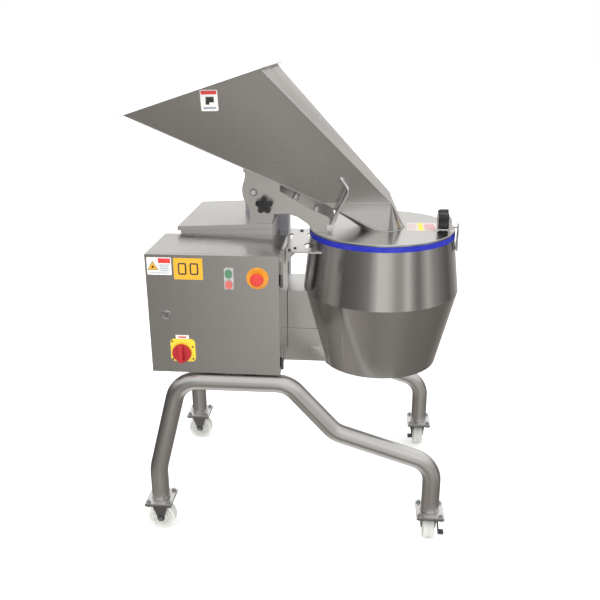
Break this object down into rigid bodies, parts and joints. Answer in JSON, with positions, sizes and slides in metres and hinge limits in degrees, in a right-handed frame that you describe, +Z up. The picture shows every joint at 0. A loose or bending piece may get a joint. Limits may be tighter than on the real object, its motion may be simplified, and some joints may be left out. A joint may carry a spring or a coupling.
{
  "type": "centrifugal vegetable slicer",
  "caption": "Stainless centrifugal slicer on a wheeled tube frame: tilted hopper over a lidded drum, driven by belts from a control cabinet and drive housing.",
  "frame": {"origin": "on the floor, at the middle of the rectangle of the four legs", "axes": "+X towards the slicing drum, +Y away from the operator, +Z up; the cabinet door faces -Y"},
  "size_m": [1.1435, 0.79, 1.6253],
  "materials": {
    "stainless": "brushed stainless sheet and tube",
    "polished_steel": "polished stainless",
    "ground_steel": "ground and turned steel",
    "zinc_steel": "zinc plated pressings",
    "dark_steel": "black coated lever",
    "motor_paint": "satin grey enamel",
    "blue_gasket": "smooth blue silicone",
    "black_rubber": "matt",
    "bronze": "sintered bronze",
    "black_plastic": "black moulded, satin gloss",
    "white_nylon": "ivory nylon",
    "grey_plastic": "moulded grey",
    "pale_plastic": "pale grey moulded",
    "green_plastic": "green button",
    "red_plastic": "red moulded",
    "yellow_plastic": "yellow moulded"
  },
  "bodies": {
    "base": {"bearing_housing": "stainless", "bed_plate": "stainless", "belt_case": "stainless", "caster_bolts": "zinc_steel", "control_cabinet": "stainless", "cradle_plate": "stainless", "cross_rails": "stainless", "door_hinge_pins": "polished_steel", "door_seal": "black_rubber", "drive_belts": "black_rubber", "drive_housing": "stainless", "drive_motor": "motor_paint", "drive_tunnel": "stainless", "drum_gasket": "blue_gasket", "drum_lower": "stainless", "drum_upper": "stainless", "front_frame_tube": "stainless", "hinge_bushes": "bronze", "hinge_pedestal": "stainless", "housing_roof": "stainless", "knife_shoes": "ground_steel", "latch_keeper": "stainless", "leg_plates": "stainless", "main_column": "stainless", "rear_frame_tube": "stainless", "rigid_casters": "zinc_steel", "slicing_ring": "stainless", "spindle_bearings": "ground_steel", "switchgear": "grey_plastic", "swivel_heads": "zinc_steel"},
    "lid_assembly": {"lid_plate": "stainless", "feed_throat": "stainless", "hopper": "stainless", "hinge_arms": "stainless", "arm_cross_bars": "stainless", "hinge_shaft": "ground_steel", "lift_handle": "polished_steel", "clamp_nut": "stainless"},
    "hinge_clamp_knob": {"hinge_clamp_knob": "black_plastic"},
    "latch_knob": {"latch_knob": "black_plastic"},
    "spindle": {"spindle": "ground_steel", "impeller": "stainless"},
    "motor_shaft": {"motor_shaft": "ground_steel"},
    "door": {"cabinet_door": "stainless", "button_bezel": "pale_plastic", "estop_collar": "yellow_plastic", "isolator_plate": "yellow_plastic"},
    "start_button": {"start_button": "green_plastic"},
    "stop_button": {"stop_button": "red_plastic"},
    "estop_head": {"estop_head": "red_plastic"},
    "isolator_handle": {"isolator_handle": "red_plastic"},
    "door_lock": {"door_lock": "polished_steel"},
    "right_front_fork": {"right_front_fork": "zinc_steel"},
    "right_rear_fork": {"right_rear_fork": "zinc_steel"},
    "right_front_wheel": {"right_front_wheel": "white_nylon"},
    "right_rear_wheel": {"right_rear_wheel": "white_nylon"},
    "right_front_brake": {"right_front_brake": "dark_steel"},
    "right_rear_brake": {"right_rear_brake": "dark_steel"},
    "left_front_wheel": {"left_front_wheel": "white_nylon"},
    "left_rear_wheel": {"left_rear_wheel": "white_nylon"}
  },
  "joints": [
    {"name": "lid_hinge", "type": "hinge", "parent": "base", "child": "lid_assembly", "pos_m": [-0.152, 0, 1.21], "axis": [0, -1, 0], "range_deg": [0, 55]},
    {"name": "hinge_knob_turn", "type": "hinge", "parent": "lid_assembly", "child": "hinge_clamp_knob", "pos_m": [-0.1138, -0.095, 1.169], "axis": [0, 1, 0], "continuous": true},
    {"name": "latch_turn", "type": "hinge", "parent": "lid_assembly", "child": "latch_knob", "pos_m": [0.52, -0.045, 1.112], "axis": [1, 0, 0], "range_deg": [-50, 0]},
    {"name": "impeller_spin", "type": "hinge", "parent": "base", "child": "spindle", "pos_m": [0.292, 0, 0.913], "axis": [0, 0, 1], "continuous": true},
    {"name": "motor_spin", "type": "hinge", "parent": "base", "child": "motor_shaft", "pos_m": [-0.29, 0, 0.7], "axis": [0, 0, 1], "continuous": true},
    {"name": "door_hinge", "type": "hinge", "parent": "base", "child": "door", "pos_m": [-0.0325, -0.338, 0.85], "axis": [0, 0, 1], "range_deg": [0, 110]},
    {"name": "start_press", "type": "slide", "parent": "door", "child": "start_button", "axis": [0, 1, 0], "range_m": [0, 0.004], "stiffness_N_per_m": 400},
    {"name": "stop_press", "type": "slide", "parent": "door", "child": "stop_button", "axis": [0, 1, 0], "range_m": [0, 0.004], "stiffness_N_per_m": 400},
    {"name": "estop_press", "type": "slide", "parent": "door", "child": "estop_head", "axis": [0, 1, 0], "range_m": [0, 0.005], "stiffness_N_per_m": 900},
    {"name": "isolator_turn", "type": "hinge", "parent": "door", "child": "isolator_handle", "pos_m": [-0.37, -0.35, 0.713], "axis": [0, -1, 0], "range_deg": [0, 90]},
    {"name": "lock_turn", "type": "hinge", "parent": "door", "child": "door_lock", "pos_m": [-0.415, -0.345, 0.847], "axis": [0, -1, 0], "range_deg": [0, 90]},
    {"name": "right_front_swivel", "type": "hinge", "parent": "base", "child": "right_front_fork", "pos_m": [0.487, -0.33, 0.104], "axis": [0, 0, 1], "continuous": true},
    {"name": "right_rear_swivel", "type": "hinge", "parent": "base", "child": "right_rear_fork", "pos_m": [0.487, 0.33, 0.104], "axis": [0, 0, 1], "continuous": true},
    {"name": "right_front_wheel_spin", "type": "hinge", "parent": "right_front_fork", "child": "right_front_wheel", "pos_m": [0.487, -0.305, 0.05], "axis": [1, 0, 0], "continuous": true},
    {"name": "right_rear_wheel_spin", "type": "hinge", "parent": "right_rear_fork", "child": "right_rear_wheel", "pos_m": [0.487, 0.355, 0.05], "axis": [1, 0, 0], "continuous": true},
    {"name": "right_front_brake_tread", "type": "hinge", "parent": "right_front_fork", "child": "right_front_brake", "pos_m": [0.487, -0.33, 0.08], "axis": [1, 0, 0], "range_deg": [0, 15]},
    {"name": "right_rear_brake_tread", "type": "hinge", "parent": "right_rear_fork", "child": "right_rear_brake", "pos_m": [0.487, 0.33, 0.08], "axis": [1, 0, 0], "range_deg": [0, 15]},
    {"name": "left_front_wheel_spin", "type": "hinge", "parent": "base", "child": "left_front_wheel", "pos_m": [-0.487, -0.33, 0.05], "axis": [0, 1, 0], "continuous": true},
    {"name": "left_rear_wheel_spin", "type": "hinge", "parent": "base", "child": "left_rear_wheel", "pos_m": [-0.487, 0.33, 0.05], "axis": [0, 1, 0], "continuous": true}
  ],
  "couplings": [
    {"joint": "motor_spin", "follows": "impeller_spin", "ratio": 1.6818}
  ]
}
